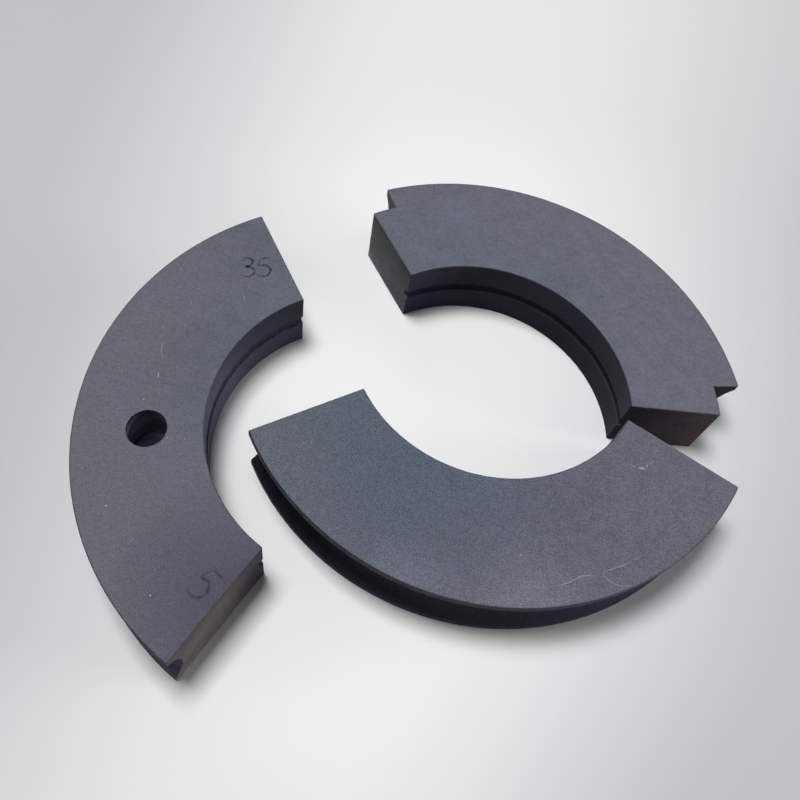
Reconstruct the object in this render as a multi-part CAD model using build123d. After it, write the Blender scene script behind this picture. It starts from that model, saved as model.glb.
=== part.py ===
from build123d import *
from math import cos, radians, sin
import os

# Graphite shaft seal ring, cut into three segments that lie loose on a flat surface.
# Lengths are in millimetres and angles in degrees. A bearing is counted anticlockwise
# from +X, seen from above.

# The ring, with its segments closed up to a full circle
outer_diameter = 200.0
bore_diameter = 112.0
thickness = 29.0
corner_break = 0.3  # small flat on the four long edges of the section

# Wide hollow groove around the rim
rim_lip = 3.3  # straight rim left above and below the groove
rim_groove_depth = 4.7

# Narrow round groove around the bore, at mid thickness
bore_groove_width = 4.2
bore_groove_depth = 2.1

# How much of the circle each segment takes
pin_hole_segment_angle = 118.7
rebated_segment_angle = 120.3
plain_segment_angle = 360.0 - pin_hole_segment_angle - rebated_segment_angle

# Blind hole for a pin that stops the ring from turning
pin_hole_diameter = 13.7
pin_hole_depth = 17.0
pin_hole_radius = 75.2  # from the ring's axis to the hole's
pin_hole_offset = 9.3  # angle from the middle of the segment

# Step cut out of the rim at both ends of the rebated segment
rebate_depth = 10.0
first_rebate_angle = 7.6  # at the end with the lower bearing
last_rebate_angle = 6.4

# How the segments lie: the bearing of each one's middle from its own centre of curvature
pin_hole_bearing = 184.75
rebated_bearing = 66.25
plain_bearing = 275.1

# The plain segment's first rim corner lies inside the bore of the segment with the hole
nested_corner_bearing = 196.6
nested_corner_gap = 15.0

# The rebated segment's first bore corner lies beside the plain segment's last one
corner_gap = 6.0
corner_gap_bearing = 79.0

outer_radius = outer_diameter / 2
bore_radius = bore_diameter / 2
mid_height = thickness / 2
overshoot = 1.0  # how far a cutting solid stands out of what it cuts


def polar(radius, bearing):
    return Vector(radius * cos(radians(bearing)), radius * sin(radians(bearing)))


# Section of the ring, drawn as radius and height, with its grooves in both walls
def ring_section():
    rim_top = thickness - rim_lip
    groove_low = mid_height - bore_groove_width / 2
    groove_high = mid_height + bore_groove_width / 2
    lower_side = Polyline(
        (bore_radius, groove_low),
        (bore_radius, corner_break),
        (bore_radius + corner_break, 0),
        (outer_radius - corner_break, 0),
        (outer_radius, corner_break),
        (outer_radius, rim_lip),
    )
    rim_groove = ThreePointArc(
        (outer_radius, rim_lip), (outer_radius - rim_groove_depth, mid_height), (outer_radius, rim_top)
    )
    upper_side = Polyline(
        (outer_radius, rim_top),
        (outer_radius, thickness - corner_break),
        (outer_radius - corner_break, thickness),
        (bore_radius + corner_break, thickness),
        (bore_radius, thickness - corner_break),
        (bore_radius, groove_high),
    )
    bore_groove = ThreePointArc(
        (bore_radius, groove_high), (bore_radius + bore_groove_depth, mid_height), (bore_radius, groove_low)
    )
    return make_face(Plane.XZ * (lower_side + rim_groove + upper_side + bore_groove))


# Plain segment around the ring's axis, with its middle on +X
def segment(angle):
    return Rot(0, 0, -angle / 2) * revolve(ring_section(), Axis.Z, angle)


# Solid that fills the rim from the rebate's wall outwards, between two bearings
def rebate_cutter(first_bearing, last_bearing):
    wall_radius = outer_radius - rebate_depth
    slice_width = rebate_depth + overshoot
    slice_height = thickness + 2 * overshoot
    slice_face = Plane.XZ * Pos(wall_radius + slice_width / 2, mid_height) * Rectangle(slice_width, slice_height)
    return Rot(0, 0, first_bearing) * revolve(slice_face, Axis.Z, last_bearing - first_bearing)


def pin_hole_segment():
    hole_centre = polar(pin_hole_radius, pin_hole_offset)
    hole = Cylinder(
        pin_hole_diameter / 2, pin_hole_depth + overshoot, align=(Align.CENTER, Align.CENTER, Align.MIN)
    )
    return segment(pin_hole_segment_angle) - Pos(hole_centre.X, hole_centre.Y, thickness - pin_hole_depth) * hole


def rebated_segment():
    half_angle = rebated_segment_angle / 2
    first_cut = rebate_cutter(-half_angle - overshoot, -half_angle + first_rebate_angle)
    last_cut = rebate_cutter(half_angle - last_rebate_angle, half_angle + overshoot)
    return segment(rebated_segment_angle) - first_cut - last_cut


def plain_segment():
    return segment(plain_segment_angle)


# Centres of curvature, counted from that of the segment with the hole
pin_hole_centre = Vector(0, 0)
nested_corner = pin_hole_centre + polar(bore_radius - nested_corner_gap, nested_corner_bearing)
plain_centre = nested_corner - polar(outer_radius, plain_bearing - plain_segment_angle / 2)
plain_bore_corner = plain_centre + polar(bore_radius, plain_bearing + plain_segment_angle / 2)
rebated_bore_corner = plain_bore_corner + polar(corner_gap, corner_gap_bearing)
rebated_centre = rebated_bore_corner - polar(bore_radius, rebated_bearing - rebated_segment_angle / 2)


def lay(solid, centre, bearing):
    return Pos(centre.X, centre.Y, 0) * Rot(0, 0, bearing) * solid


laid = {
    "pin_hole_segment": lay(pin_hole_segment(), pin_hole_centre, pin_hole_bearing),
    "rebated_segment": lay(rebated_segment(), rebated_centre, rebated_bearing),
    "plain_segment": lay(plain_segment(), plain_centre, plain_bearing),
}

# The origin is on the ground under the middle of the whole set
footprint = Compound(list(laid.values())).bounding_box()
to_origin = Pos(-footprint.center().X, -footprint.center().Y, 0)

os.makedirs("parts", exist_ok=True)
for name, solid in laid.items():
    export_step(to_origin * solid, f"parts/{name}.step")
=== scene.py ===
import math

import bpy
from mathutils import Matrix, Vector


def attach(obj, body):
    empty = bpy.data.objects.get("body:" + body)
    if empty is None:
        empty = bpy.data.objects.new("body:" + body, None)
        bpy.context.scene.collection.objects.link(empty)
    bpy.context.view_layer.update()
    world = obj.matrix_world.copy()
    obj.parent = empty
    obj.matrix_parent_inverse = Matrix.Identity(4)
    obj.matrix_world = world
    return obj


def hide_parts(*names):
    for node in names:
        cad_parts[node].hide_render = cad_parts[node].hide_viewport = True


# Graphite shaft seal ring in three loose segments. Sizes are in millimetres and angles in degrees
# in the dictionaries, and become metres and radians where the meshes are made.

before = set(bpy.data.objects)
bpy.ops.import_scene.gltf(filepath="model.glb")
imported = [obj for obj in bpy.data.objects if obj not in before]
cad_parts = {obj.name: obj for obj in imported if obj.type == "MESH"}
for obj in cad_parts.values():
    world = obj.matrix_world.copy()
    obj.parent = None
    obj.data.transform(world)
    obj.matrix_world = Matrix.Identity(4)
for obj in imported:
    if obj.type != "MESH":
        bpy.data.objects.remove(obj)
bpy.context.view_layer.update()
print("frame loaded")

mm = 0.001

ring = {
    "outerRadius": 99.99,
    "boreRadius": 56.0,
    "thickness": 29.0,
    "markHeight": 0.03,  # marks and specks stand this high on the tops, which lie lower by as much
    "edgeBreak": 0.27,
    "rimLip": 3.3,
    "rimGrooveDepth": 4.7,
    "boreGrooveWidth": 4.2,
    "boreGrooveDepth": 2.1,
    "grooveLip": 0.7,  # band beside a groove's edge that its chips may take
    "shoulderRadius": 90.0,  # wall of the rebates
}

# Wear of the edges: waves, chips that come in patches, and chips along the bore's groove.
# A band says between which values of its noise a chip goes from nothing to its full depth
wear = {
    "waveDepth": 0.045,
    "waveSize": 2.2,
    "chipDepth": 0.24,
    "chipSize": 1.7,
    "chipBand": (0.62, 0.78),
    "patchSize": 14.0,
    "patchBand": (0.45, 0.62),
    "grooveChipDepth": 0.6,
    "grooveChipSize": 1.6,
    "grooveChipBand": (0.44, 0.60),
}

# Each segment: its centre of curvature, the bearing of its middle and what it takes of the circle.
# A cut end has a shade at the bore, another from the given radius outwards, and levels at foot and head.
# These hold the ends' own brownish tone with painted shade and light: an end is darker where a neighbouring
# segment shades it, and some are lighter towards the foot as if lit from the floor
plainEnd = {
    "bore": (0.110, 0.110, 0.114),
    "rim": (0.124, 0.120, 0.120),
    "full": 100.0,
    "foot": 1.0,
    "head": 1.0,
}
segments = {
    "pin_hole_segment": {
        "centre": (-18.311, -15.960, 0.0),
        "bearing": 184.75,
        "angle": 118.7,
        "seed": 3,
        "grooveWear": 1.0,
        "top": "groundTop",
        "wall": "wornWallPaintedLight",
        "firstEnd": plainEnd,
        # Painted shade at the bore, where the plain segment shades this end, and painted light towards the
        # foot
        "lastEnd": {**plainEnd, "bore": (0.040, 0.038, 0.045), "rim": (0.140, 0.120, 0.126), "full": 79.0,
                    "foot": 1.6, "head": 0.85},
    },
    "rebated_segment": {
        "centre": (21.172, 5.916, 0.0),
        "bearing": 66.25,
        "angle": 120.3,
        "seed": 11,
        "grooveWear": 0.2,
        "firstRebate": 7.6,
        "lastRebate": 6.4,
        "top": "fineTop",
        "wall": "darkWall",
        # Painted shade at the bore, where the plain segment stands before this end, and on the rebate's
        # shoulder
        "firstEnd": {**plainEnd, "bore": (0.040, 0.035, 0.052), "rim": (0.218, 0.162, 0.180)},
        "firstShoulder": {**plainEnd, "bore": (0.060, 0.044, 0.044), "rim": (0.060, 0.044, 0.044)},
        # Painted light towards the foot and painted shade towards the head
        "lastEnd": {**plainEnd, "bore": (0.176, 0.173, 0.192), "rim": (0.214, 0.211, 0.215), "foot": 1.25,
                    "head": 0.32},
        "lastShoulder": {**plainEnd, "bore": (0.092, 0.094, 0.108), "rim": (0.092, 0.094, 0.108)},
    },
    "plain_segment": {
        "centre": (24.712, 29.111, 0.0),
        "bearing": 275.1,
        "angle": 121.0,
        "seed": 23,
        "grooveWear": 0.2,
        "top": "coarseTop",
        "wall": "shadedWall",
        "firstEnd": plainEnd,
        "lastEnd": plainEnd,
    },
}

pinHole = {
    "node": "pin_hole_segment",
    "diameter": 13.7,
    "depth": 17.0,
    "radius": 75.2,
    "offset": 9.3,
    "edgeBreak": 0.1,
    "ragged": 0.2,
    "raggedSize": 0.8,
    "drillAbove": 1.0,  # how far the cutting solids stand out of the top
    "sides": 144,
}


def metres(point):
    return tuple(value * mm for value in point)


def polar(radius, bearing):
    return (radius * math.cos(math.radians(bearing)), radius * math.sin(math.radians(bearing)))


# Middle of the hole's mouth, counted from its segment's centre of curvature
def holeMouth():
    bearing = segments[pinHole["node"]]["bearing"] + pinHole["offset"]
    return metres((*polar(pinHole["radius"], bearing), ring["thickness"] - ring["markHeight"]))


# Node helpers. They add to the tree that was opened last, and most hand back the new node's output
work = {"tree": None}


def openTree(tree):
    work["tree"] = tree
    return tree


def feed(node, inputs):
    for socket, value in inputs.items():
        for part in value if isinstance(value, list) else [value]:
            if isinstance(part, bpy.types.NodeSocket):
                work["tree"].links.new(part, node.inputs[socket])
            else:
                node.inputs[socket].default_value = part
    return node


def make(kind, inputs=None, **settings):
    node = work["tree"].nodes.new(kind)
    for name, value in settings.items():
        setattr(node, name, value)
    return feed(node, inputs or {})


def calc(operation, first, second=0.0, third=0.0):
    return make("ShaderNodeMath", {0: first, 1: second, 2: third}, operation=operation).outputs[0]


def pairwise(operation):
    return lambda first, second: calc(operation, first, second)


plus, minus, times = (pairwise(name) for name in ("ADD", "SUBTRACT", "MULTIPLY"))
above, below, power = (pairwise(name) for name in ("GREATER_THAN", "LESS_THAN", "POWER"))
both, either = (pairwise(name) for name in ("MULTIPLY", "MAXIMUM"))  # of two yes-or-no values


def opposite(value):
    return minus(1.0, value)


def magnitude(value):
    return calc("ABSOLUTE", value)


def spread(value, low, high, first=0.0, last=1.0, smooth=False):
    inputs = {0: value, 1: low, 2: high, 3: first, 4: last}
    kind = "SMOOTHSTEP" if smooth else "LINEAR"
    return make("ShaderNodeMapRange", inputs, interpolation_type=kind).outputs[0]


def sway(value, contrast, level):
    return calc("MULTIPLY_ADD", minus(value, 0.5), contrast, level)


def blend(factor, first, last):
    return make("ShaderNodeMix", {0: factor, 2: first, 3: last}).outputs[0]


def tint(factor, first, last):
    first, last = ((*colour, 1.0) if isinstance(colour, tuple) else colour for colour in (first, last))
    return make("ShaderNodeMix", {0: factor, 6: first, 7: last}, data_type="RGBA").outputs[2]


def vector(x=0.0, y=0.0, z=0.0):
    return make("ShaderNodeCombineXYZ", {0: x, 1: y, 2: z}).outputs[0]


def parts(value):
    return make("ShaderNodeSeparateXYZ", {0: value}).outputs


def vectors(operation, first, second=(0.0, 0.0, 0.0)):
    return make("ShaderNodeVectorMath", {0: first, 1: second}, operation=operation).outputs[0]


def scaled(value, factor):
    return make("ShaderNodeVectorMath", {0: value, 3: factor}, operation="SCALE").outputs[0]


# Distance or dot product of two vectors
def measure(operation, first, second):
    return make("ShaderNodeVectorMath", {0: first, 1: second}, operation=operation).outputs["Value"]


def around(radius, bearing, height=0.0):
    return vector(times(radius, calc("COSINE", bearing)), times(radius, calc("SINE", bearing)), height)


def noise(place, size, detail=2.0, roughness=0.5, output="Fac"):
    inputs = {"Vector": place, "Scale": 1 / (size * mm), "Detail": detail, "Roughness": roughness}
    return make("ShaderNodeTexNoise", inputs).outputs[output]


# Where a noise passes through the band that a dictionary gives for it, from 0 to 1
def patches(values, name, place, detail=2.0):
    return spread(noise(place, values[name + "Size"], detail), *values[name + "Band"])


# A random way off at each place, by up to half of the length to every side
def stray(place, size, length):
    return scaled(vectors("SUBTRACT", noise(place, size, 1.0, output="Color"), (0.5, 0.5, 0.5)), length)


def attribute(label, output="Fac"):
    return make("ShaderNodeAttribute", attribute_name=label, attribute_type="GEOMETRY").outputs[output]


def shape(kind, inputs=None, **settings):
    return make("GeometryNode" + kind, inputs, **settings).outputs[0]


def keep(geometry, name, value, kind="FLOAT", domain="POINT"):
    inputs = {"Geometry": geometry, "Name": name, "Value": value}
    return shape("StoreNamedAttribute", inputs, data_type=kind, domain=domain)


def read(name, kind="FLOAT"):
    return shape("InputNamedAttribute", {"Name": name}, data_type=kind)


def readParts(name):
    return parts(read(name, "FLOAT_VECTOR"))[:2]


def put(geometry, position):
    return shape("SetPosition", {"Geometry": geometry, "Position": position})


def shift(geometry, offset):
    return shape("SetPosition", {"Geometry": geometry, "Offset": offset})


def moved(geometry, translation):
    return shape("Transform", {"Geometry": geometry, "Translation": translation})


def merged(geometry, reach):
    return shape("MergeByDistance", {"Geometry": geometry, "Distance": reach})


def dressed(geometry, material, selection=True):
    return shape("SetMaterial", {"Geometry": geometry, "Selection": selection, "Material": material})


socketKinds = {float: "Float", int: "Int", bool: "Bool", tuple: "Vector", bpy.types.Material: "Material"}


# A geometry tree with a named input for each of the sizes that a piece gives it
def newTree(name, sizes):
    tree = openTree(bpy.data.node_groups.new(name, "GeometryNodeTree"))
    tree.interface.new_socket("Geometry", in_out="INPUT", socket_type="NodeSocketGeometry")
    tree.interface.new_socket("Geometry", in_out="OUTPUT", socket_type="NodeSocketGeometry")
    for label, value in sizes.items():
        kind = "NodeSocket" + socketKinds[type(value)]
        tree.interface.new_socket(label, in_out="INPUT", socket_type=kind)
    return tree


def addPiece(name, data):
    piece = bpy.data.objects.new(name, data)
    bpy.context.scene.collection.objects.link(piece)
    return piece


# A piece made by a tree out of points, the edges between them and what each point carries. The result
# stays as a plain mesh, with the material slots that are used
def growPiece(name, tree, sizes, points, edges, layers):
    mesh = bpy.data.meshes.new(name)
    mesh.from_pydata(points, edges, [])
    for label, values in layers.items():
        isVector = any(isinstance(value, tuple) for value in values)
        layer = mesh.attributes.new(label, "FLOAT_VECTOR" if isVector else "FLOAT", "POINT")
        flat = [part for value in values for part in (value if isVector else (value,))]
        layer.data.foreach_set("vector" if isVector else "value", flat)
    piece = addPiece(name, mesh)
    modifier = piece.modifiers.new(tree.name, "NODES")
    modifier.node_group = tree
    names = {item.name: item.identifier for item in tree.interface.items_tree if item.in_out == "INPUT"}
    for label, value in sizes.items():
        modifier[names[label]] = value
    graph = bpy.context.evaluated_depsgraph_get()
    mesh = bpy.data.meshes.new_from_object(piece.evaluated_get(graph))
    piece.modifiers.clear()
    piece.data = mesh
    mesh.name = name
    indices = [polygon.material_index for polygon in mesh.polygons]
    used = sorted(set(indices))
    materials = [mesh.materials[index] for index in used]
    mesh.materials.clear()
    for material in materials:
        mesh.materials.append(material)
    mesh.polygons.foreach_set("material_index", [used.index(index) for index in indices])
    mesh.shade_flat()
    return piece


def declare(piece):
    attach(piece, "root")


# Finishes of the graphite. Foot and head are levels at the bottom and the top of a wall, and groove that
# of the bore's groove: painted light and shade, the groove's a painted shade in its hollow. A place is
# darker
# or paler than the rest: its middle, reach and tint. On walls and in the hole the places are painted light
# and shade, paler where a face would be lit and darker where a neighbouring segment shades it
topLook = {
    "face": "top",
    "colour": (0.098, 0.115, 0.147),
    "outerColour": (0.119, 0.113, 0.141),
    "grain": 0.87,
    "speckle": 1.08,
    "clouds": 1.0,
    "roughness": 0.55,
    "gloss": 0.12,
    "bump": 0.03,
    "lines": 0.0,
    "foot": 1.0,
    "head": 1.0,
    "places": [],
}
wallLook = {
    **topLook,
    "face": "wall",
    "colour": (0.056, 0.055, 0.086),
    "outerColour": (0.062, 0.055, 0.078),
    "grain": 0.8,
    "speckle": 0.8,
    "roughness": 0.5,
    "gloss": 0.03,
    "lines": 0.3,
    # Painted shade in the bore's groove
    "groove": 0.7,
}
looks = {
    "groundTop": {
        **topLook,
        "places": [
            ((-46.0, -83.0, 29.0), 54.0, (0.54, 0.49, 0.61)),
            ((-84.0, -8.0, 29.0), 36.0, (0.90, 0.90, 0.91)),
        ],
    },
    "fineTop": {
        **topLook,
        "outerColour": (0.118, 0.113, 0.145),
        "grain": 0.8,
        "speckle": 1.1,
        "clouds": 0.4,
        "places": [
            ((4.0, 87.0, 29.0), 15.0, (1.14, 1.13, 1.13)),
            ((46.0, 61.0, 29.0), 15.0, (0.90, 0.90, 0.91)),
        ],
    },
    "coarseTop": {
        **topLook,
        "colour": (0.091, 0.107, 0.138),
        "outerColour": (0.113, 0.104, 0.134),
        "grain": 1.3,
        "speckle": 1.3,
        "clouds": 0.5,
        "places": [
            ((2.0, -36.0, 29.0), 54.0, (0.83, 0.88, 0.92)),
            ((56.0, -30.0, 29.0), 34.0, (0.95, 0.92, 0.94)),
            ((4.0, -72.0, 29.0), 24.0, (1.30, 1.28, 1.27)),
            ((46.0, -72.0, 29.0), 28.0, (1.34, 1.33, 1.31)),
        ],
    },
    "wornWallPaintedLight": {
        **wallLook,
        "colour": (0.050, 0.053, 0.077),
        "outerColour": (0.053, 0.052, 0.069),
        # Painted light and shade: a lighter foot and darker head, and paler places in the middle of the bore
        # wall and at the tip's rim groove
        "groove": 0.94,
        "foot": 1.55,
        "head": 0.78,
        "places": [
            ((-74.0, -16.0, 14.5), 36.0, (1.80, 1.86, 2.02)),
            ((-62.0, -103.0, 14.5), 26.0, (1.60, 1.42, 1.50)),
        ],
    },
    "darkWall": {
        **wallLook,
        "groove": 0.95,
        # Painted shade on the bore wall where the plain segment stands before it, and painted light low at
        # its left end
        "places": [
            ((72.0, 30.0, 14.5), 57.0, (0.68, 0.67, 0.66)),
            ((70.0, 22.0, 0.0), 50.0, (0.66, 0.66, 0.66)),
            ((60.0, 58.0, 0.0), 40.0, (0.55, 0.54, 0.55)),
            ((-8.0, 53.0, 0.0), 32.0, (1.60, 1.50, 1.60)),
        ],
    },
    "shadedWall": {
        **wallLook,
        # Painted shade on the left of the rim, where the pin-hole segment shades it, and painted light on
        # its right
        "places": [
            ((-34.0, -46.0, 14.5), 63.0, (0.33, 0.31, 0.36)),
            ((-60.0, -29.0, 14.5), 34.0, (0.27, 0.26, 0.27)),
            ((98.0, -42.0, 14.5), 60.0, (1.35, 1.28, 1.38)),
        ],
    },
    "cutEnd": {
        **topLook,
        "face": "end",
        "grain": 1.1,
        "speckle": 1.1,
        "roughness": 0.6,
        "gloss": 0.05,
        "bump": 0.05,
        "lines": 0.12,
    },
    "drilledHole": {
        **wallLook,
        "face": "hole",
        "colour": (0.146, 0.146, 0.192),
        "outerColour": (0.146, 0.144, 0.186),
        "grain": 0.6,
        "speckle": 0.6,
        "roughness": 0.6,
        # Painted light and shade: the wall lighter at its foot, paler on its left and at the far side of the
        # mouth, darker on the left of the mouth; the floor is tinted bluer
        "foot": 1.1,
        "places": [
            ((-98.0, -32.5, 22.0), 10.0, (2.90, 2.85, 2.90)),
            ((-97.9, -33.0, 28.5), 8.0, (0.44, 0.44, 0.45)),
            ((-90.0, -27.4, 28.5), 6.0, (2.40, 2.30, 2.35)),
            ((-91.0, -34.0, 11.0), 9.0, (0.95, 0.91, 1.12)),
        ],
    },
}

# What the finishes share. Sizes of grain, mottling and pits are in millimetres, and a band says between
# which values of its noise something goes from nothing to its full strength
shade = {
    "middle": (-5.0, 5.0, 14.5),  # the blue shade is strongest here
    "near": 35.0,
    "far": 125.0,
    "sides": 70.0,  # the tops grow lighter from this far on the left to this far on the right
    "sideLevels": (0.93, 1.06),
    "grainSize": 0.5,
    "grainContrast": 1.25,
    "speckleSize": 1.7,
    "speckleContrast": 0.42,
    "mottleSize": 6.0,
    "mottleContrast": 0.34,
    "mottleGloss": 0.25,
    "cloudSize": 38.0,
    "cloudContrast": 0.24,
    "tintSize": 7.0,
    "tintContrast": 0.5,
    "fineTintSize": 2.2,
    "fineTintContrast": 0.3,
    "hueSize": 4.5,
    "hueContrast": 0.22,
    "pitSize": 1.3,
    "pitBand": (0.68, 0.80),
    "pitLevel": -0.25,
    "pitRelief": -0.8,
    "lineSize": 0.3,
    "lineContrast": 0.5,
    "lineWander": 0.6,  # lines leave their height by up to about half of this, over the given size
    "lineWanderSize": 6.0,
    "endSlant": 0.18,
    "endCloudSize": 12.0,
    "endCloudContrast": 0.8,
    "endLineContrast": 0.12,
    "endLineStretch": 0.12,
    "pencilColour": (0.022, 0.021, 0.030),
    "pencilGapSize": 0.9,
    "pencilGapBand": (0.35, 0.65),
    "pencilGapLevel": 0.75,
    "scratchColour": (0.42, 0.43, 0.46),
    "wearColour": (0.070, 0.070, 0.100),
    "wearSize": 1.3,
    "wearBand": (0.45, 0.65),
    "rimBand": 0.8,  # band at the rim of the tops that is darker
    "rimLevel": 0.72,
    # Painted shade in the bore's groove, between these depths
    "grooveStart": (0.02, 0.4),  # depths between which a wall turns into the bore's groove
    "grooveEnd": (3.0, 4.0),
    # Painted shade and light in the hole: its floor darker, less so at its rim, its wall lighter just above
    # the floor and darker towards the mouth
    "holeFloor": (0.125, 0.62),  # levels of the floor, within the given radius and at its rim
    "holeFloorBorder": 3.8,
    "holeFoot": 1.9,  # level of the wall just above the floor, fading upwards over the given height
    "holeFootReach": 4.5,
    "holeMouthLevel": 0.18,
    "holeMouth": (24.0, 28.4),  # heights between which it darkens towards the mouth
    "skin": 0.05,  # within this height a face counts as the floor's
}


# Shade drifts from blue in the middle of the set to brown grey at its outside, in patches. A cut end has
# its own two shades, from bore to rim: its own tone with painted shade where a neighbouring segment shades
# it
def baseColour(look, place, radius, clouds):
    if look["face"] == "end":
        full = parts(attribute("shadeRule", "Vector"))[2]
        across = spread(radius, ring["boreRadius"] * mm, full, smooth=True)
        return tint(across, attribute("boreShade", "Vector"), attribute("rimShade", "Vector"))
    away = measure("DISTANCE", place, metres(shade["middle"]))
    drift = spread(away, shade["near"] * mm, shade["far"] * mm)
    drift = sway(clouds, look["clouds"], drift)
    drift = sway(noise(place, shade["tintSize"], 3.0, 0.6), shade["tintContrast"], drift)
    drift = sway(noise(place, shade["fineTintSize"], 1.0), shade["fineTintContrast"], drift)
    return tint(spread(drift, 0.0, 1.0), look["colour"], look["outerColour"])


# Edges are rubbed, places are darker or paler, on walls and in the hole as painted light and shade, and the
# hue wanders between green and magenta
def wearAndPaintedLightColour(look, place, colour):
    rubbed = times(attribute("edgeWear"), patches(shade, "wear", place))
    colour = tint(rubbed, colour, shade["wearColour"])
    for spot, reach, change in look["places"]:
        fade = spread(measure("DISTANCE", place, metres(spot)), 0.0, reach * mm, smooth=True)
        colour = vectors("MULTIPLY", colour, tint(fade, change, (1.0, 1.0, 1.0)))
    magenta = sway(noise(place, shade["hueSize"], 3.0, 0.6), shade["hueContrast"], 1.0)
    return vectors("MULTIPLY", colour, vector(magenta, 1.0, magenta))


# Level of a face by where a point lies on it. On walls, cut ends and in the hole the levels at foot and head
# are painted light and shade
def faceLevel(look, place, radius, height):
    if look["face"] == "top":
        reach = shade["sides"] * mm
        outer = ring["outerRadius"] * mm
        sides = spread(parts(place)[0], -reach, reach, *shade["sideLevels"])
        return times(sides, spread(radius, outer - shade["rimBand"] * mm, outer, 1.0, shade["rimLevel"]))
    foot, head = look["foot"], look["head"]
    if look["face"] == "end":
        foot, head = parts(attribute("shadeRule", "Vector"))[:2]
    return spread(height, 0.0, ring["thickness"] * mm, foot, head)


# Painted shade in the bore's groove: a wall darkens there to its look's groove level
def grooveLevel(look, radius):
    depth = minus(radius, ring["boreRadius"] * mm)
    begun = spread(depth, *metres(shade["grooveStart"]))
    inGroove = times(begun, spread(depth, *metres(shade["grooveEnd"]), 1.0, 0.0))
    return blend(inGroove, 1.0, look["groove"])


# Painted shade and light in the hole: its floor is darkened, less towards its border, its wall is lighter
# just above the floor, and it darkens from the foot to the mouth
def holeLevel(place, height):
    hole = holeMouth()
    centre = metres(segments[pinHole["node"]]["centre"])
    floor = (ring["thickness"] - pinHole["depth"]) * mm
    away = measure("DISTANCE", place, (centre[0] + hole[0], centre[1] + hole[1], floor))
    border, rim = metres((shade["holeFloorBorder"], pinHole["diameter"] / 2))
    floorLevel = spread(away, border, rim, *shade["holeFloor"], smooth=True)
    foot = spread(height, floor, floor + shade["holeFootReach"] * mm, shade["holeFoot"], 1.0, smooth=True)
    level = blend(above(height, floor + shade["skin"] * mm), floorLevel, foot)
    return times(level, spread(height, *metres(shade["holeMouth"]), 1.0, shade["holeMouthLevel"]))


def graphite(name):
    look = looks[name]
    isEnd = look["face"] == "end"
    material = bpy.data.materials.new(name)
    material.use_nodes = True
    tree = openTree(material.node_tree)
    shader = tree.nodes["Principled BSDF"]
    place = make("ShaderNodeTexCoord").outputs["Object"]
    height = parts(place)[2]
    radius = parts(attribute("section", "Vector"))[0]

    # Light and dark: fine grain, speckle, mottling, clouds and pits
    clouds = noise(place, shade["cloudSize"], 3.0)
    grain = noise(place, shade["grainSize"], 1.0)
    mottle = noise(place, shade["mottleSize"], 3.0)
    pits = patches(shade, "pit", place)
    level = sway(grain, shade["grainContrast"] * look["grain"], 1.0)
    level = sway(noise(place, shade["speckleSize"]), shade["speckleContrast"] * look["speckle"], level)
    level = sway(mottle, shade["mottleContrast"], level)
    level = sway(clouds, shade["cloudContrast"] * look["clouds"], level)
    # Levels by where a point lies; on walls, ends and in the hole, and in the groove, they are painted light
    # and shade
    level = times(level, faceLevel(look, place, radius, height))
    level = calc("MULTIPLY_ADD", pits, shade["pitLevel"], level)
    relief = calc("MULTIPLY_ADD", pits, shade["pitRelief"], grain)
    if look["face"] == "wall":
        level = times(level, grooveLevel(look, radius))
    if look["face"] == "hole":
        level = times(level, holeLevel(place, height))

    # Tool lines run round walls and holes at even heights, and aslant over cut ends
    if isEnd:
        height = calc("MULTIPLY_ADD", radius, shade["endSlant"], height)
        level = sway(noise(place, shade["endCloudSize"], 3.0), shade["endCloudContrast"], level)
    if look["lines"] > 0:
        wander = sway(noise(place, shade["lineWanderSize"]), shade["lineWander"] * mm, height)
        lines = noise(vector(z=wander), shade["lineSize"], 2.0, 0.6)
        level = sway(lines, look["lines"] * shade["lineContrast"], level)
        relief = calc("MULTIPLY_ADD", lines, look["lines"], relief)
    if isEnd:
        broad = noise(vector(z=times(wander, shade["endLineStretch"])), shade["lineSize"], 2.0, 0.6)
        level = sway(broad, shade["endLineContrast"], level)

    colour = scaled(wearAndPaintedLightColour(look, place, baseColour(look, place, radius, clouds)), level)
    gaps = blend(patches(shade, "pencilGap", place), 1.0, shade["pencilGapLevel"])
    colour = tint(times(attribute("pencil"), gaps), colour, shade["pencilColour"])
    bump = {"Strength": 1.0, "Distance": look["bump"] * mm, "Height": relief}
    feed(shader, {
        "Base Color": tint(attribute("scratch"), colour, shade["scratchColour"]),
        "Roughness": sway(mottle, shade["mottleGloss"], look["roughness"]),
        "Specular IOR Level": look["gloss"],
        "Normal": make("ShaderNodeBump", bump).outputs[0],
    })
    return material


finishes = {name: graphite(name) for name in looks}
print("finishes made")

finishNumber = {"top": 1.0, "end": 2.0, "hole": 3.0}  # all other faces are walls

# How the sweep is made. What merges and what counts as near is in metres. A facing says how squarely a
# face looks along the arc, or up or down, to take a finish
sweep = {
    "step": 0.45,  # angle from one ring to the next
    "margin": 0.5,  # nearest that a plain ring comes to a special one
    "rimGroovePoints": 37,
    "boreGroovePoints": 25,
    "topPoints": (9, 28),  # points over the top, outside and inside the wall of the rebates
    "edgeReach": 1.5,  # points this near to a corner of the section belong to it, in edge breaks
    "near": 1e-6,
    "outlineMerge": 1e-6,
    "ringMerge": 1e-7,
    "holeMerge": 4e-6,
    "endFacing": 0.93,
    "flatFacing": 0.98,
    "endEdgeFacing": 0.5,
    "edgeShare": 0.99,  # a face is a broken edge's if this share of it is marked as corner
    "rebateInset": (0.4, 0.9),  # how far a rebate's top corner goes in and down at an end, in edge breaks
    "finishReach": 0.1,
}


# Heights of the section's middle, its grooves' edges and its own top
def sectionHeights(given):
    middle = times(given["thickness"], 0.5)
    half = times(given["boreGrooveWidth"], 0.5)
    rimHigh = minus(given["thickness"], given["rimLip"])
    return middle, minus(middle, half), plus(middle, half), rimHigh, given["thickness"]


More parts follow.
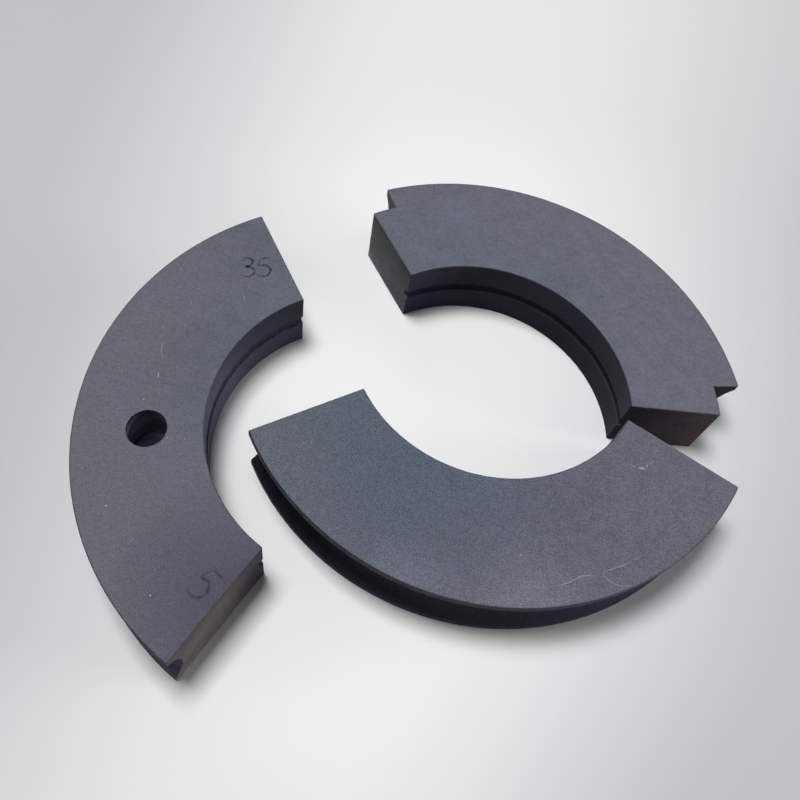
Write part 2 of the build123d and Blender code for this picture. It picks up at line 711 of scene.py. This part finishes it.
# Outline of the section, as radius and height. Each point of it keeps its place and its way out
def sectionOutline(given):
    outer, bore, edge = given["outerRadius"], given["boreRadius"], given["edgeBreak"]
    rimLow, lip = given["rimLip"], given["grooveLip"]
    middle, grooveLow, grooveHigh, rimHigh, top = sectionHeights(given)
    boreFlat = plus(bore, edge)
    rimFlat = minus(outer, edge)
    wallTop = minus(top, edge)
    shoulderFlat = minus(given["shoulderRadius"], times(edge, 2.0))
    rimTopPoints, topPoints = sweep["topPoints"]

    # Corners anticlockwise, with the number of points on the run that follows, and its bulge if it's an arc
    corners = [
        (bore, grooveLow, 2),
        (bore, minus(grooveLow, lip), 2),
        (bore, edge, 2),
        (boreFlat, 0.0, 2),
        (shoulderFlat, 0.0, 2),
        (rimFlat, 0.0, 2),
        (outer, edge, 2),
        (outer, minus(rimLow, lip), 2),
        (outer, rimLow, sweep["rimGroovePoints"], minus(outer, given["rimGrooveDepth"])),
        (outer, rimHigh, 2),
        (outer, plus(rimHigh, lip), 2),
        (outer, wallTop, 2),
        (rimFlat, top, rimTopPoints),
        (shoulderFlat, top, topPoints),
        (boreFlat, top, 2),
        (bore, wallTop, 2),
        (bore, plus(grooveHigh, lip), 2),
        (bore, grooveHigh, sweep["boreGroovePoints"], plus(bore, given["boreGrooveDepth"])),
    ]
    places = [vector(*corner[:2]) for corner in corners]
    runs = []
    for corner, start, end in zip(corners, places, places[1:] + places[:1]):
        points, *bulge = corner[2:]
        if bulge:
            arc = {"Resolution": points, "Start": start, "Middle": vector(bulge[0], middle), "End": end}
            runs.append(shape("CurveArc", arc, mode="POINTS"))
        else:
            line = shape("CurvePrimitiveLine", {"Start": start, "End": end})
            runs.append(shape("ResampleCurve", {"Curve": line, "Count": points}))
    loose = shape("CurveToMesh", {"Curve": shape("JoinGeometry", {0: runs})})
    outline = shape("MeshToCurve", {"Mesh": merged(loose, sweep["outlineMerge"])})
    x, y = parts(shape("InputTangent"))[:2]
    outline = keep(outline, "section", shape("InputPosition"), "FLOAT_VECTOR")
    return keep(outline, "wayOut", vector(y, times(x, -1.0)), "FLOAT_VECTOR")


# Takes the blind hole out of a segment, with a broken and slightly ragged edge
def drilled(whole, given):
    radius, depth, edge = given["holeRadius"], given["holeDepth"], given["holeBreak"]
    length = plus(depth, pinHole["drillAbove"] * mm)
    drill = shape("MeshCylinder", {"Vertices": pinHole["sides"], "Radius": radius, "Depth": length})
    drill = moved(drill, vector(z=minus(times(length, 0.5), depth)))
    length = plus(edge, pinHole["drillAbove"] * mm)
    flare = shape("MeshCone", {
        "Vertices": pinHole["sides"],
        "Radius Top": plus(radius, length),
        "Radius Bottom": radius,
        "Depth": length,
    })
    flare = moved(flare, vector(z=times(edge, -1.0)))
    flare = shift(flare, stray(shape("InputPosition"), pinHole["raggedSize"], given["holeRagged"]))
    cutters = []
    for cutter in (drill, flare):
        cutter = dressed(moved(cutter, given["holePlace"]), given["holeMaterial"])
        cutters.append(keep(cutter, "finish", finishNumber["hole"], domain="FACE"))
    inputs = {"Mesh 1": whole, "Mesh 2": cutters}
    return shape("MeshBoolean", inputs, operation="DIFFERENCE", solver="EXACT")


# The ring segment's tree: a section outline swept along the rings, each put at its own bearing
def segmentTree(sizes):
    tree = newTree("ringSegment", sizes)
    given = make("NodeGroupInput").outputs
    outer, bore, edge = given["outerRadius"], given["boreRadius"], given["edgeBreak"]
    shoulder = given["shoulderRadius"]
    middle, grooveLow, grooveHigh, rimHigh, top = sectionHeights(given)
    path = shape("MeshToCurve", {"Mesh": given["Geometry"]})
    inputs = {"Curve": path, "Profile Curve": sectionOutline(given), "Fill Caps": True}
    swept = shape("CurveToMesh", inputs)
    radius, height = readParts("section")
    outRadius, outHeight = readParts("wayOut")
    bearing = read("bearing")
    reach = times(edge, sweep["edgeReach"])

    def isNear(first, second):
        return calc("COMPARE", first, second, sweep["near"])

    onFlat = either(isNear(height, top), isNear(height, 0.0))
    nearTop = above(height, minus(top, reach))
    onRim = isNear(radius, outer)
    onBore = isNear(radius, bore)
    pastShoulder = above(radius, minus(shoulder, edge))
    cut = both(read("rimCut"), pastShoulder)
    cutFlat = both(cut, onFlat)
    cutWall = both(cut, opposite(onFlat))
    nearRim = either(above(radius, minus(outer, reach)), cut)
    nearBore = below(radius, plus(bore, reach))
    flatCorner = both(onFlat, either(nearRim, nearBore))
    wallCorner = both(either(onRim, onBore), either(nearTop, below(height, reach)))
    boreEdge = both(onBore, either(isNear(height, grooveLow), isNear(height, grooveHigh)))
    rimEdge = both(onRim, either(isNear(height, given["rimLip"]), isNear(height, rimHigh)))
    grooveEdge = either(boreEdge, both(rimEdge, opposite(cut)))

    # Rim points move in to the shoulder where the rim is cut away
    baseRadius = blend(cut, radius, minus(shoulder, times(edge, cutFlat)))

    # Bite of each edge point: gentle waves, and a chip here and there
    place = around(baseRadius, bearing, plus(height, given["seed"]))
    waves = times(minus(noise(place, wear["waveSize"]), 0.5), times(given["waveDepth"], 2.0))
    chips = both(patches(wear, "chip", place), patches(wear, "patch", place, 1.0))
    grooveChips = both(boreEdge, patches(wear, "grooveChip", place, 3.0))
    bite = plus(waves, times(chips, given["chipDepth"]))
    bite = plus(bite, times(grooveChips, given["grooveChipDepth"]))
    bite = calc("MAXIMUM", bite, times(minus(grooveEdge, 1.0), edge))

    inward = blend(nearRim, 1.0, -1.0)
    downward = blend(nearTop, 1.0, -1.0)
    apart = calc("SIGN", minus(height, middle))
    radiusBite = times(times(either(flatCorner, grooveEdge), inward), bite)
    heightBite = plus(times(times(wallCorner, downward), bite), times(times(grooveEdge, apart), bite))

    # End contours step in along the section's own outline, all round at the ends, and at the rim
    # only where a rebate's wall meets the full section
    inset = both(read("inset"), either(opposite(read("rimOnly")), pastShoulder))
    insetDepth = times(inset, plus(edge, bite))
    cornerIn, cornerDown = sweep["rebateInset"]
    outRadius = blend(cut, outRadius, blend(cutWall, cornerIn, 1.0))
    outHeight = blend(cut, outHeight, times(times(cutFlat, downward), -cornerDown))
    finalRadius = minus(plus(baseRadius, radiusBite), times(insetDepth, outRadius))
    finalHeight = minus(plus(height, heightBite), times(insetDepth, outHeight))
    pull = times(read("pull"), calc("DIVIDE", plus(edge, bite), radius))
    corner = either(either(flatCorner, wallCorner), either(inset, magnitude(read("pull"))))
    placed = put(keep(swept, "corner", corner), around(finalRadius, plus(bearing, pull), finalHeight))
    placed = keep(placed, "section", vector(finalRadius, finalHeight), "FLOAT_VECTOR")
    whole = shape("FlipFaces", {"Mesh": merged(placed, sweep["ringMerge"])})

    # Finishes by where a face looks. A broken edge takes the wall's, and at an end the top's
    normal = shape("InputNormal")
    x, y, z = parts(shape("InputPosition"))
    along = vectors("NORMALIZE", vector(times(y, -1.0), x))
    ahead = magnitude(measure("DOT_PRODUCT", along, normal))
    lift = parts(normal)[2]
    outermost = above(magnitude(minus(z, middle)), minus(middle, times(edge, 2.0)))
    isEnd = above(ahead, sweep["endFacing"])
    isFlat = both(above(magnitude(lift), sweep["flatFacing"]), outermost)
    isEndEdge = both(above(ahead, sweep["endEdgeFacing"]), above(lift, sweep["endEdgeFacing"]))
    isEdge = both(above(read("corner"), sweep["edgeShare"]), opposite(either(isEnd, isEndEdge)))
    number = either(times(either(isFlat, isEndEdge), finishNumber["top"]), times(isEnd, finishNumber["end"]))
    whole = keep(whole, "edgeWear", isEdge, domain="FACE")
    whole = dressed(keep(whole, "finish", number, domain="FACE"), given["wallMaterial"])

    inputs = {"Switch": given["hasHole"], "False": whole, "True": drilled(whole, given)}
    chosen = shape("Switch", inputs, input_type="GEOMETRY")
    laid = moved(merged(chosen, sweep["holeMerge"]), given["centre"])
    done = dressed(shape("RealizeInstances", {"Geometry": laid}), given["wallMaterial"])
    for finish, number in finishNumber.items():
        isChosen = calc("COMPARE", read("finish"), number, sweep["finishReach"])
        done = dressed(done, given[finish + "Material"], isChosen)
    make("NodeGroupOutput", {0: done})
    return tree


def lengths(values, *names):
    return {name: values[name] * mm for name in names}


def segmentSizes(node, segment):
    return {
        **lengths(ring, "outerRadius", "boreRadius", "edgeBreak", "rimLip", "rimGrooveDepth", "grooveLip"),
        **lengths(ring, "boreGrooveWidth", "boreGrooveDepth", "shoulderRadius"),
        **lengths(wear, "waveDepth", "chipDepth"),
        "thickness": (ring["thickness"] - ring["markHeight"]) * mm,
        "grooveChipDepth": wear["grooveChipDepth"] * segment["grooveWear"] * mm,
        "seed": segment["seed"] * ring["thickness"] * mm,
        "centre": metres(segment["centre"]),
        "hasHole": node == pinHole["node"],
        "holeRadius": pinHole["diameter"] / 2 * mm,
        "holeDepth": pinHole["depth"] * mm,
        "holeBreak": pinHole["edgeBreak"] * mm,
        "holeRagged": pinHole["ragged"] * mm,
        "holePlace": holeMouth(),
        "topMaterial": finishes[segment["top"]],
        "wallMaterial": finishes[segment["wall"]],
        "endMaterial": finishes["cutEnd"],
        "holeMaterial": finishes["drilledHole"],
    }


def evenly(start, end):
    count = max(1, round((end - start) / sweep["step"]))
    return [start + (end - start) * number / count for number in range(count + 1)]


# Rings at one end of a segment, from the end inwards. Each has its angle and says what happens there
def endRings(end, rebate):
    cut = 1.0 if rebate else 0.0
    rings = [{"angle": end, "rimCut": cut, "inset": 1.0}, {"angle": end, "rimCut": cut, "pull": 1.0}]
    if rebate:
        shoulder = end + rebate
        places = evenly(end + sweep["margin"], shoulder - sweep["margin"])
        rings += [{"angle": angle, "rimCut": 1.0} for angle in [*places, shoulder]]
        rings.append({"angle": shoulder, "inset": 1.0, "rimOnly": 1.0})
        rings.append({"angle": shoulder, "pull": 1.0, "rimOnly": 1.0})
    return rings


# The rings that the section is swept along, in order. The last end's are the mirror of a first end's
def ringList(segment):
    half = segment["angle"] / 2
    first = segment.get("firstRebate", 0.0)
    last = segment.get("lastRebate", 0.0)
    middle = evenly(first - half + sweep["margin"], half - last - sweep["margin"])
    mirrored = [{**item, "angle": -item["angle"], "pull": -item.get("pull", 0.0)}
                for item in endRings(-half, last)]
    rings = endRings(-half, first) + [{"angle": angle} for angle in middle] + mirrored[::-1]
    return [{"rimCut": 0.0, "inset": 0.0, "pull": 0.0, "rimOnly": 0.0, **item} for item in rings]


# Shades of the nearest cut face, its own tone with painted shade and light, which away from the end itself
# is the shoulder of a rebate, if any
def endShades(segment, angle):
    side = "first" if angle < 0 else "last"
    isAway = segment["angle"] / 2 - abs(angle) > sweep["margin"] / 2
    return segment[side + ("Shoulder" if isAway and side + "Shoulder" in segment else "End")]


def buildSegment(node, segment, tree):
    rings = ringList(segment)
    ends = [endShades(segment, item["angle"]) for item in rings]
    layers = {name: [item[name] for item in rings] for name in ("rimCut", "inset", "pull", "rimOnly")}
    layers["bearing"] = [math.radians(segment["bearing"] + item["angle"]) for item in rings]
    # Shades and levels of the cut ends, with their painted shade and light
    layers["boreShade"] = [end["bore"] for end in ends]
    layers["rimShade"] = [end["rim"] for end in ends]
    layers["shadeRule"] = [(end["foot"], end["head"], end["full"] * mm) for end in ends]
    points = [(number * mm, 0, 0) for number in range(len(rings))]
    edges = [(number, number + 1) for number in range(len(rings) - 1)]
    piece = growPiece(node + ".graphite", tree, segmentSizes(node, segment), points, edges, layers)
    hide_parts(node)
    declare(piece)
    return piece


sweepTree = segmentTree(segmentSizes(pinHole["node"], segments[pinHole["node"]]))
for nodeName, values in segments.items():
    madePiece = buildSegment(nodeName, values, sweepTree)
    print(nodeName, "made,", len(madePiece.data.polygons), "faces")

# Figures in pencil, drawn as strokes in a box one unit high. Any number may be written with these two
figures = {
    "3": [[(0.04, 0.84), (0.30, 1.00), (0.54, 0.82), (0.42, 0.60), (0.22, 0.53), (0.50, 0.46), (0.62, 0.22),
           (0.36, 0.00), (0.00, 0.10)]],
    "5": [[(0.14, 0.96), (0.08, 0.56), (0.36, 0.61), (0.57, 0.36), (0.44, 0.06), (0.18, 0.00), (0.00, 0.12)],
          [(0.15, 0.95), (0.58, 1.00)]],
}

# Marks on the tops, at places counted from the middle of the set. A scratch has its half width, strength
# and line, and a speck its place, half width and strength
marks = {
    "pin_hole_segment": {
        "numbers": [
            {"text": "35", "foot": (-76.9, 34.4), "turn": 14.0, "height": 9.0, "spacing": 0.72},
            {"text": "5", "foot": (-63.2, -83.2), "turn": -38.0, "height": 10.5, "spacing": 0.8},
        ],
        "scratches": [
            (0.20, 0.30, [(-96.4, 0.2), (-95.8, -3.6), (-95.3, -5.2), (-94.2, -6.6)]),
            (0.24, 0.60, [(-94.0, -12.3), (-93.7, -13.6), (-93.4, -14.8)]),
            (0.16, 0.30, [(-73.6, 26.9), (-72.6, 24.6), (-71.8, 23.7)]),
        ],
        "specks": [
            ((-95.2, -63.1), 0.378, 1.0),
            ((-72.6, -87.6), 0.378, 1.0),
            ((-95.7, -24.0), 0.288, 0.8),
            ((-83.4, -36.3), 0.288, 0.8),
            ((-91.1, 18.2), 0.252, 0.7),
            ((-89.3, -50.9), 0.216, 0.6),
            ((-111.3, -7.2), 0.234, 0.6),
            ((-67.7, 35.2), 0.270, 0.5),
            ((-70.7, 29.9), 0.270, 0.5),
        ],
    },
    "rebated_segment": {"numbers": [], "scratches": [], "specks": []},
    "plain_segment": {
        "numbers": [],
        "scratches": [
            (0.30, 0.80, [(79.4, -12.6), (80.3, -12.5), (81.4, -12.4), (82.4, -12.7)]),
            (0.22, 0.45, [(82.4, -12.1), (82.7, -11.0), (83.0, -10.2)]),
            (0.22, 0.40, [(83.2, -10.3), (84.2, -9.9), (84.7, -8.9), (85.0, -8.1)]),
            (0.20, 0.20, [(76.1, -11.8), (77.8, -12.2), (79.4, -12.5)]),
            (0.20, 0.22, [(66.6, -18.4), (70.1, -18.3), (73.7, -17.7)]),
            (0.18, 0.14, [(43.3, -61.8), (48.0, -61.2), (52.1, -60.1)]),
            (0.20, 0.38, [(52.1, -60.1), (55.6, -58.6), (58.6, -56.6), (60.6, -55.2), (63.0, -54.4),
                          (65.4, -53.8)]),
            (0.20, 0.38, [(67.5, -52.6), (71.2, -50.6), (75.3, -48.2), (77.6, -46.4)]),
            (0.20, 0.22, [(77.6, -46.4), (80.0, -44.8), (82.2, -43.6)]),
            (0.20, 0.35, [(67.5, -52.8), (70.4, -54.9), (73.0, -55.6), (75.4, -55.5), (78.8, -54.3)]),
        ],
        "specks": [
            ((40.3, -52.2), 0.324, 0.8),
            ((56.2, -64.2), 0.324, 0.6),
            ((39.6, -52.9), 0.216, 0.6),
        ],
    },
}

drawing = {
    "pencilWidth": 0.56,  # half of the stroke
    "ink": 1.25,
    "fadePower": 4.0,  # the higher, the sharper a stroke's sides
    "taperEnd": 0.02,  # share of a stroke's half wave that is left off at either end
    "taperPower": 0.4,
    "unevenSize": 1.1,
    "unevenBand": (0.3, 0.7),
    "unevenLevels": (0.55, 1.3),
    "wobble": 0.22,
    "wobbleSize": 1.6,
    "step": 0.35,
    "strokeSides": 8,
    "underside": -0.1,  # points of a stroke's profile below this are its underside
    "rootDepth": 3.0,  # how far the underside lies in the graphite, in mark heights
    "strokeSink": 0.0025,  # each stroke lies lower than the last by this much, so that no two share a plane
    "speckLevel": 0.7,
    "speckCount": 60,
    "speckWidths": (0.10, 0.26),
    "speckPower": 3.0,  # the higher, the rarer the large ones
    "speckStrengths": (0.2, 0.5),
    "speckSlimness": (0.5, 1.0),
    "margin": 1.5,  # clear border at the walls and round the hole
    "endMargin": 1.0,  # the same at the ends, as an angle
    "seedStep": 10,
}


def flattened(value):
    return vectors("MULTIPLY", value, (1.0, 1.0, 0.0))


# Flat strokes along the lines. They wander a little, and are narrow at both ends and uneven in between
def strokesAlong(lines, given):
    position = shape("InputPosition")
    lines = shape("CurveSplineType", {"Curve": lines}, spline_type="CATMULL_ROM")
    lines = shape("ResampleCurve", {"Curve": lines, "Length": given["step"]}, mode="LENGTH")
    lines = shift(lines, flattened(stray(position, drawing["wobbleSize"], given["wobble"])))
    end = drawing["taperEnd"]
    turn = calc("MULTIPLY_ADD", shape("SplineParameter"), math.pi * (1 - 2 * end), math.pi * end)
    taper = power(calc("SINE", turn), drawing["taperPower"])
    uneven = noise(position, drawing["unevenSize"])
    uneven = spread(uneven, *drawing["unevenBand"], *drawing["unevenLevels"])
    width = times(times(read("halfWidth"), taper), uneven)
    sideways = vectors("NORMALIZE", vectors("CROSS_PRODUCT", shape("InputTangent"), (0.0, 0.0, 1.0)))
    lines = keep(lines, "lineAt", position, "FLOAT_VECTOR")
    lines = keep(lines, "sideways", scaled(sideways, width), "FLOAT_VECTOR")
    lines = keep(lines, "ink", times(taper, uneven))
    profile = shape("CurvePrimitiveCircle", {"Resolution": drawing["strokeSides"], "Radius": 1.0})
    profile = keep(profile, "across", position, "FLOAT_VECTOR")
    strokes = shape("CurveToMesh", {"Curve": lines, "Profile Curve": profile, "Fill Caps": True})
    across, upwards = readParts("across")
    root = times(times(below(upwards, drawing["underside"]), given["markHeight"]), -drawing["rootDepth"])
    upright = vector(z=minus(plus(given["height"], root), read("sink")))
    flat = vectors("ADD", read("lineAt", "FLOAT_VECTOR"), scaled(read("sideways", "FLOAT_VECTOR"), across))
    strokes = shape("FlipFaces", {"Mesh": put(strokes, vectors("ADD", flattened(flat), upright))})
    strokes = dressed(strokes, given["material"])
    fade = opposite(power(magnitude(across), drawing["fadePower"]))
    fade = calc("MINIMUM", times(times(fade, read("ink")), drawing["ink"]), 1.0)
    for name in ("pencil", "scratch"):
        strokes = keep(strokes, name, times(read(name), fade))
    return strokes


# Thin flakes at the points given, and at a scatter of small ones over the top, away from the hole
def specksOver(given):
    def random(low, high, number):
        inputs = {2: low, 3: high, 8: plus(given["seed"], float(number))}
        return make("FunctionNodeRandomValue", inputs, data_type="FLOAT").outputs[1]

    chosen = {"Mesh": given["Geometry"], "Selection": above(read("isSpeck"), 0.5)}
    points = shape("MeshToPoints", chosen)
    margin = drawing["margin"] * mm
    radius = random(plus(given["boreRadius"], margin), minus(given["outerRadius"], margin), 1)
    bearing = plus(given["bearing"], times(given["halfAngle"], random(-1.0, 1.0, 2)))
    spot = around(radius, bearing)
    apart = measure("DISTANCE", spot, flattened(given["holePlace"]))
    scatter = shape("Points", {"Count": given["speckCount"], "Position": spot})
    fine = power(random(0.0, 1.0, 3), drawing["speckPower"])
    least, most = given["speckLeast"], given["speckMost"]
    scatter = keep(scatter, "halfWidth", calc("MULTIPLY_ADD", fine, minus(most, least), least))
    scatter = keep(scatter, "scratch", random(*drawing["speckStrengths"], 4))
    tooNear = {"Geometry": scatter, "Selection": below(apart, given["holeClearance"])}
    scatter = shift(shape("DeleteGeometry", tooNear, domain="POINT"), given["centre"])
    seat = vector(z=minus(given["height"], given["markHeight"]))
    points = shape("JoinGeometry", {0: [points, scatter]})
    flake = shape("MeshIcoSphere", {"Radius": 1.0, "Subdivisions": 1})
    width = read("halfWidth")
    slimmer = times(width, random(*drawing["speckSlimness"], 6))
    return shape("InstanceOnPoints", {
        "Points": put(points, vectors("ADD", flattened(shape("InputPosition")), seat)),
        "Instance": dressed(flake, given["material"]),
        "Rotation": vector(z=random(0.0, math.tau, 5)),
        "Scale": vector(width, slimmer, given["markHeight"]),
    })


def markTree(sizes):
    tree = newTree("topMarks", sizes)
    given = make("NodeGroupInput").outputs
    lines = shape("MeshToCurve", {"Mesh": given["Geometry"]})
    together = shape("JoinGeometry", {0: [strokesAlong(lines, given), specksOver(given)]})
    real = shape("RealizeInstances", {"Geometry": together})
    make("NodeGroupOutput", {0: dressed(real, given["material"])})
    return tree


def markSizes(node, segment):
    least, most = metres(drawing["speckWidths"])
    outer = ring["shoulderRadius"] if "firstRebate" in segment else ring["outerRadius"]
    return {
        **lengths(ring, "markHeight", "boreRadius"),
        **lengths(drawing, "step", "wobble"),
        "height": ring["thickness"] * mm,
        "speckCount": drawing["speckCount"],
        "speckLeast": least,
        "speckMost": most,
        "seed": segment["seed"] * drawing["seedStep"],
        "outerRadius": outer * mm,
        "bearing": math.radians(segment["bearing"]),
        "halfAngle": math.radians(segment["angle"] / 2 - drawing["endMargin"]),
        "centre": metres(segment["centre"]),
        "holePlace": holeMouth() if node == pinHole["node"] else (0.0, 0.0, 0.0),
        "holeClearance": (pinHole["diameter"] / 2 + drawing["margin"]) * mm,
        "material": finishes[segment["top"]],
    }


def writtenStrokes(number):
    turn = Matrix.Rotation(math.radians(number["turn"]), 2)
    foot = Vector(number["foot"])
    for position, figure in enumerate(number["text"]):
        for stroke in figures[figure]:
            start = position * number["spacing"]
            yield [foot + turn @ (Vector((start + x, y)) * number["height"]) for x, y in stroke]


def buildMarks(node, segment, tree):
    points = []
    edges = []
    rows = {"halfWidth": [], "pencil": [], "scratch": [], "isSpeck": [], "sink": []}

    def addLine(line, halfWidth, pencil, scratch, isSpeck=0.0):
        sink = 0.0 if isSpeck else len(set(rows["sink"])) * drawing["strokeSink"] * mm
        for number, (x, y) in enumerate(line):
            if number:
                edges.append((len(points) - 1, len(points)))
            points.append((x * mm, y * mm, 0.0))
            for name, value in zip(rows, (halfWidth * mm, pencil, scratch, isSpeck, sink)):
                rows[name].append(value)

    for number in marks[node]["numbers"]:
        for line in writtenStrokes(number):
            addLine(line, drawing["pencilWidth"], 1.0, 0.0)
    for width, strength, line in marks[node]["scratches"]:
        addLine(line, width, 0.0, strength)
    for spot, width, strength in marks[node]["specks"]:
        addLine([spot], width, 0.0, strength * drawing["speckLevel"], 1.0)
    piece = growPiece(node + ".marks", tree, markSizes(node, segment), points, edges, rows)
    declare(piece)
    return piece


marksTree = markTree(markSizes(pinHole["node"], segments[pinHole["node"]]))
for nodeName, values in segments.items():
    madePiece = buildMarks(nodeName, values, marksTree)
    print(nodeName, "marked,", len(madePiece.data.polygons), "faces")

# Pale floor. It looks pale to the camera and in gloss, and throws little light back at the walls. Its colour
# holds a painted pool of light: palest in a leaning band round the middle, darker to the sides and far off
studio = {
    "floorSize": 6.0,  # metres
    "floorColour": (0.845, 0.846, 0.848),
    # A painted pool of light: the floor's colour is palest near its centre and in a band, darker outside
    "floorLevels": (1.094, 0.894),  # at the centre and away from it
    "floorCentre": (46.0, 3.0, 0.0),
    "floorReach": (5.0, 214.0),
    "floorEdge": (0.542, 0.552, 0.565),
    "floorMiddle": -13.5,  # the floor is palest here and darkens to both sides
    "floorLean": 0.042,  # the pale band leans to the right
    "floorSpread": (0.37, 2.41),  # it widens towards the back, left and right of its middle
    "floorNarrowest": 0.4,
    "floorBand": (13.0, 191.0),
    "floorBounce": (0.20, 0.20, 0.205),
    "floorFade": (430.0, 1100.0),  # between these distances the floor turns into the backdrop
    "floorRoughness": 0.9,
    "worldColour": (0.92, 0.96, 1.0),
    "worldLight": 0.08,
    "backdropColour": (0.80, 0.806, 0.815),
}


def seenDirectly():
    path = make("ShaderNodeLightPath").outputs
    return either(either(path["Is Camera Ray"], path["Is Glossy Ray"]), path["Is Transmission Ray"])


def addFloor():
    material = bpy.data.materials.new("paleFloor")
    material.use_nodes = True
    nodes = openTree(material.node_tree).nodes
    place = make("ShaderNodeTexCoord").outputs["Object"]
    x, y = parts(place)[:2]
    side = minus(x, calc("MULTIPLY_ADD", y, studio["floorLean"], studio["floorMiddle"] * mm))
    widening = blend(above(side, 0.0), *studio["floorSpread"])
    width = calc("MAXIMUM", calc("MULTIPLY_ADD", y, widening, 1.0), studio["floorNarrowest"])
    edge = spread(magnitude(calc("DIVIDE", side, width)), *metres(studio["floorBand"]), smooth=True)
    away = measure("DISTANCE", place, metres(studio["floorCentre"]))
    level = spread(away, *metres(studio["floorReach"]), *studio["floorLevels"], smooth=True)
    pale = scaled(tint(edge, studio["floorColour"], studio["floorEdge"]), level)
    seen = seenDirectly()
    shader = feed(nodes["Principled BSDF"], {
        "Base Color": tint(seen, studio["floorBounce"], pale),
        "Roughness": studio["floorRoughness"],
        "Specular IOR Level": 0.0,
    })
    fade = times(seen, spread(away, *metres(studio["floorFade"]), smooth=True))
    backdrop = make("ShaderNodeEmission", {"Color": (*studio["backdropColour"], 1.0)}).outputs[0]
    surface = make("ShaderNodeMixShader", {0: fade, 1: shader.outputs[0], 2: backdrop}).outputs[0]
    feed(nodes["Material Output"], {"Surface": surface})
    half = studio["floorSize"] / 2
    mesh = bpy.data.meshes.new("floor")
    corners = [(-half, -half, 0), (half, -half, 0), (half, half, 0), (-half, half, 0)]
    mesh.from_pydata(corners, [], [(0, 1, 2, 3)])
    mesh.materials.append(material)
    addPiece("floor", mesh)


def addWorld():
    world = bpy.data.worlds.new("studio")
    bpy.context.scene.world = world
    world.use_nodes = True
    nodes = openTree(world.node_tree).nodes
    seen = seenDirectly()
    feed(nodes["Background"], {
        "Color": tint(seen, studio["worldColour"], studio["backdropColour"]),
        "Strength": blend(seen, studio["worldLight"], 1.0),
    })


# Lamps: a large soft key high up behind the left, and a low weak fill on either side. Metres and watts
lamps = {
    "key": {"bearing": 157, "height": 76.5, "distance": 1.6, "size": (0.47, 0.47), "power": 22.4,
            "colour": (1.0, 1.0, 1.0)},
    "rightFill": {"bearing": 12, "height": 16, "distance": 2.0, "size": (1.2, 0.5), "power": 20.0,
                  "colour": (1.0, 0.98, 0.96)},
    "leftFill": {"bearing": 195, "height": 15, "distance": 2.0, "size": (1.0, 0.5), "power": 5.0,
                 "colour": (0.97, 1.0, 0.97)},
}


def addLamps():
    for name, lamp in lamps.items():
        data = bpy.data.lights.new(name, "AREA")
        data.shape = "RECTANGLE"
        data.size, data.size_y = lamp["size"]
        data.energy = lamp["power"]
        data.color = lamp["colour"]
        item = addPiece(name, data)
        lift = math.radians(lamp["height"])
        across = polar(lamp["distance"] * math.cos(lift), lamp["bearing"])
        item.location = (*across, lamp["distance"] * math.sin(lift))
        item.rotation_euler = (-item.location).to_track_quat("-Z", "Y").to_euler()


addFloor()
addWorld()
addLamps()
print("studio made")

camera = {
    "place": (-16.76, -145.00, 295.95),
    "lookDown": 57.42,
    "roll": 10.76,
    "turn": 0.57,
    "focalPixels": 835.2,
    "axisPixel": (385, 325),
    "imagePixels": 800,
    "sensorWidth": 36.0,
    "clipStart": 10.0,
}


def addCamera():
    data = bpy.data.cameras.new("camera")
    item = addPiece("camera", data)
    bpy.context.scene.camera = item
    size = camera["imagePixels"]
    data.sensor_width = camera["sensorWidth"]
    data.lens = camera["focalPixels"] * data.sensor_width / size
    data.shift_x = (size / 2 - camera["axisPixel"][0]) / size
    data.shift_y = (camera["axisPixel"][1] - size / 2) / size
    data.clip_start = camera["clipStart"] * mm
    turn = Matrix.Rotation(math.radians(camera["turn"]), 4, "Z")
    tilt = Matrix.Rotation(math.radians(90 - camera["lookDown"]), 4, "X")
    roll = Matrix.Rotation(math.radians(camera["roll"]), 4, "Z")
    item.matrix_world = Matrix.Translation(metres(camera["place"])) @ turn @ tilt @ roll


addCamera()

bpy.context.scene.view_settings.view_transform = "Standard"
